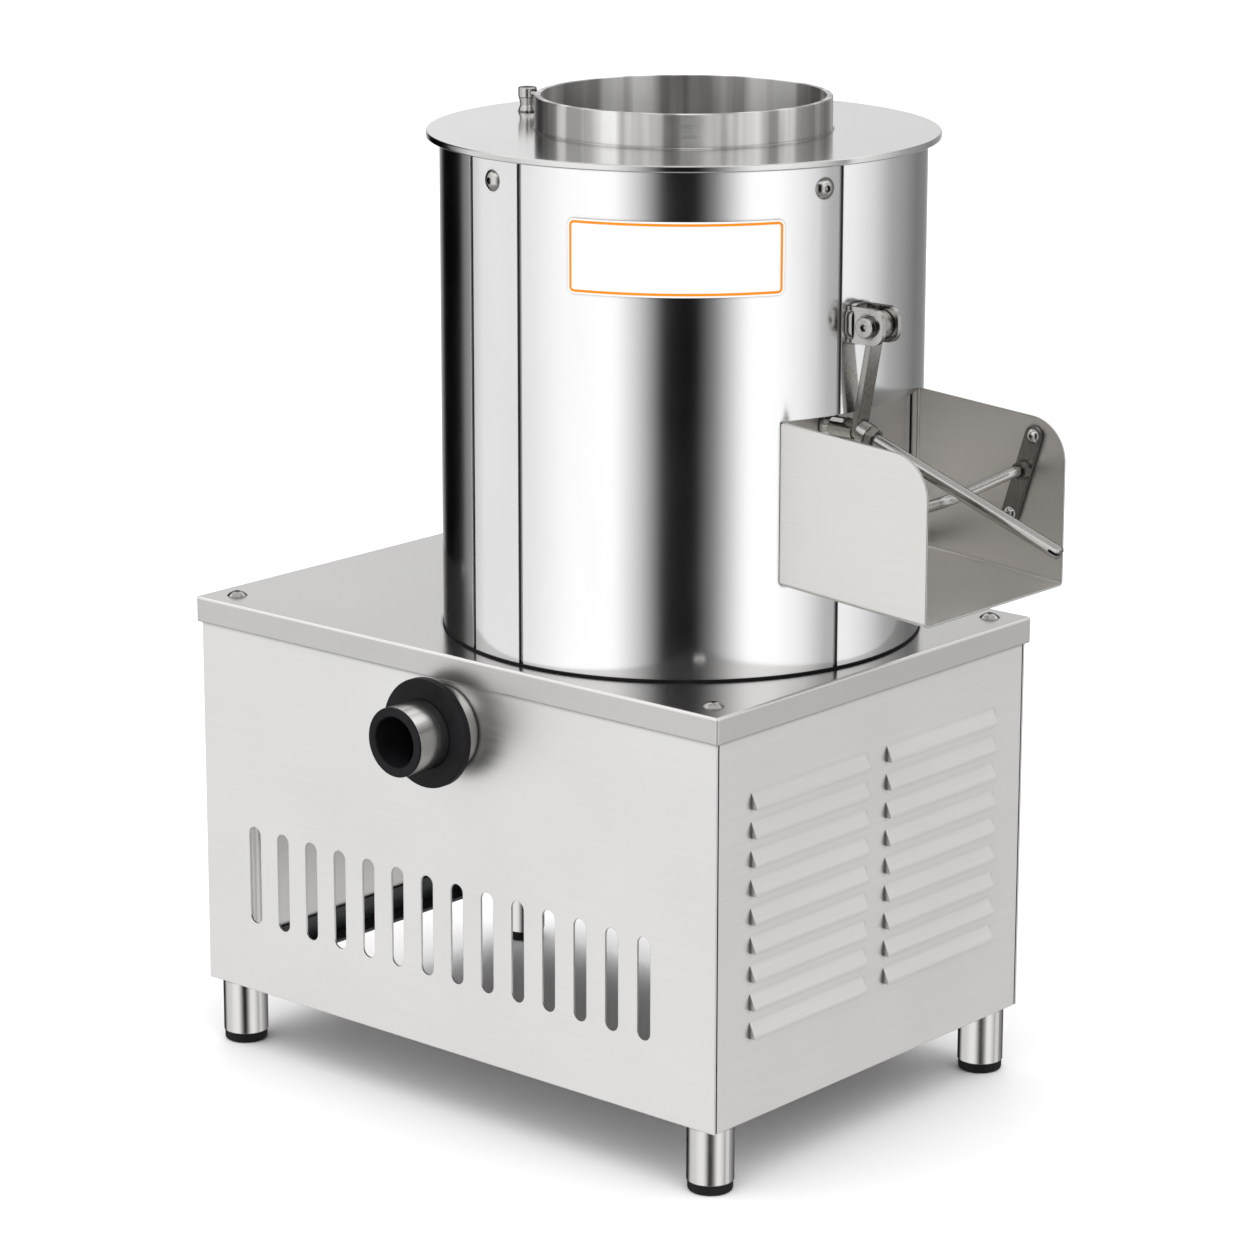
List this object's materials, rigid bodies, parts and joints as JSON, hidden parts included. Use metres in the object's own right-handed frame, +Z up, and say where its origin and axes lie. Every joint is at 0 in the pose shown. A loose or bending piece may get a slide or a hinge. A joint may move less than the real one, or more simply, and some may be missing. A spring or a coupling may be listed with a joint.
{
  "type": "potato peeler",
  "caption": "Stainless-steel electric potato peeler: drum with rough disc, discharge chute with swinging gate, belt-drive cabinet on legs.",
  "frame": {"origin": "bottom centre of the whole object's box, on the floor", "axes": "+X towards the chute, along the cabinet's front; +Y towards the back; +Z up"},
  "size_m": [0.8344, 0.552, 0.921],
  "materials": {
    "brushed_sheet": "satin brushed stainless sheet",
    "polished_sheet": "polished stainless sheet",
    "polished_fittings": "polished stainless bar and fasteners",
    "mill_steel": "mill-finish stainless sheet",
    "black_rubber": "matt black rubber",
    "grit_coating": "bonded abrasive grit",
    "cast_aluminium": "cast aluminium",
    "cast_iron": "grey cast iron",
    "machined_steel": "ground steel",
    "painted_steel": "dark grey painted steel",
    "black_plastic": "black moulded plastic",
    "green_plastic": "green moulded plastic",
    "red_plastic": "red moulded plastic"
  },
  "bodies": {
    "frame": {"legs": "brushed_sheet", "feet": "black_rubber", "base_frame": "painted_steel", "front_panel": "brushed_sheet", "back_panel": "brushed_sheet", "left_panel": "brushed_sheet", "right_panel": "brushed_sheet", "deck": "brushed_sheet", "button_screws": "polished_fittings", "switch_box": "black_plastic", "button_bezels": "black_plastic", "supply_gland": "black_plastic", "drain_pipe": "brushed_sheet", "drain_liner": "black_rubber", "drain_socket": "brushed_sheet", "drain_flange": "black_rubber", "chamber_wall": "mill_steel", "wall_liner": "grit_coating", "chamber_floor": "mill_steel", "jacket_front": "polished_sheet", "jacket_strip": "polished_sheet", "jacket_rear": "polished_sheet", "jacket_battens": "mill_steel", "base_gasket": "black_rubber", "drum_cover": "polished_sheet", "feed_collar": "polished_sheet", "latch_post": "polished_sheet", "water_inlet": "polished_fittings", "outlet_frame": "brushed_sheet", "chute": "brushed_sheet", "stop_straps": "brushed_sheet", "strap_studs": "polished_fittings", "stop_bar": "polished_fittings", "clevis_bracket": "polished_fittings", "clevis_pin": "polished_fittings", "clevis_nuts": "polished_fittings", "bearing_housing": "cast_iron", "shaft_bearings": "machined_steel", "shaft_seal": "black_rubber", "hex_bolts": "machined_steel", "drive_belt": "black_rubber", "motor_housing": "cast_aluminium", "motor_fan_cover": "painted_steel", "terminal_box": "black_plastic", "motor_mount": "painted_steel"},
    "gate": {"gate_plate": "brushed_sheet", "gate_boss": "polished_fittings", "gate_arm": "brushed_sheet", "gate_handle": "polished_fittings"},
    "disc_shaft": {"disc_casting": "cast_aluminium", "disc_grit": "grit_coating", "disc_nut": "cast_aluminium", "main_shaft": "machined_steel", "driven_pulley": "cast_iron"},
    "motor_rotor": {"motor_shaft": "machined_steel", "drive_pulley": "cast_iron"},
    "latch_turn": {"latch_cap": "polished_sheet"},
    "start_switch": {"start_button": "green_plastic"},
    "stop_switch": {"stop_button": "red_plastic"}
  },
  "joints": [
    {"name": "gate_swing", "type": "hinge", "parent": "frame", "child": "gate", "pos_m": [0.21879, -0.001, 0.74491], "axis": [0, -1, 0], "range_deg": [0, 31.5]},
    {"name": "disc_spin", "type": "hinge", "parent": "frame", "child": "disc_shaft", "pos_m": [-0.01921, 0.022, 0.494], "axis": [0, 0, 1], "continuous": true},
    {"name": "motor_spin", "type": "hinge", "parent": "frame", "child": "motor_rotor", "pos_m": [-0.28921, 0.022, 0.214], "axis": [0, 0, 1], "continuous": true},
    {"name": "lid_latch_turn", "type": "hinge", "parent": "frame", "child": "latch_turn", "pos_m": [-0.19472, 0.0088, 0.891], "axis": [0, 0, 1], "range_deg": [0, 90]},
    {"name": "start_press", "type": "slide", "parent": "frame", "child": "start_switch", "axis": [1, 0, 0], "range_m": [0, 0.004], "stiffness_N_per_m": 300},
    {"name": "stop_press", "type": "slide", "parent": "frame", "child": "stop_switch", "axis": [1, 0, 0], "range_m": [0, 0.004], "stiffness_N_per_m": 300}
  ],
  "couplings": [
    {"joint": "motor_spin", "follows": "disc_spin", "ratio": 2.8571}
  ]
}
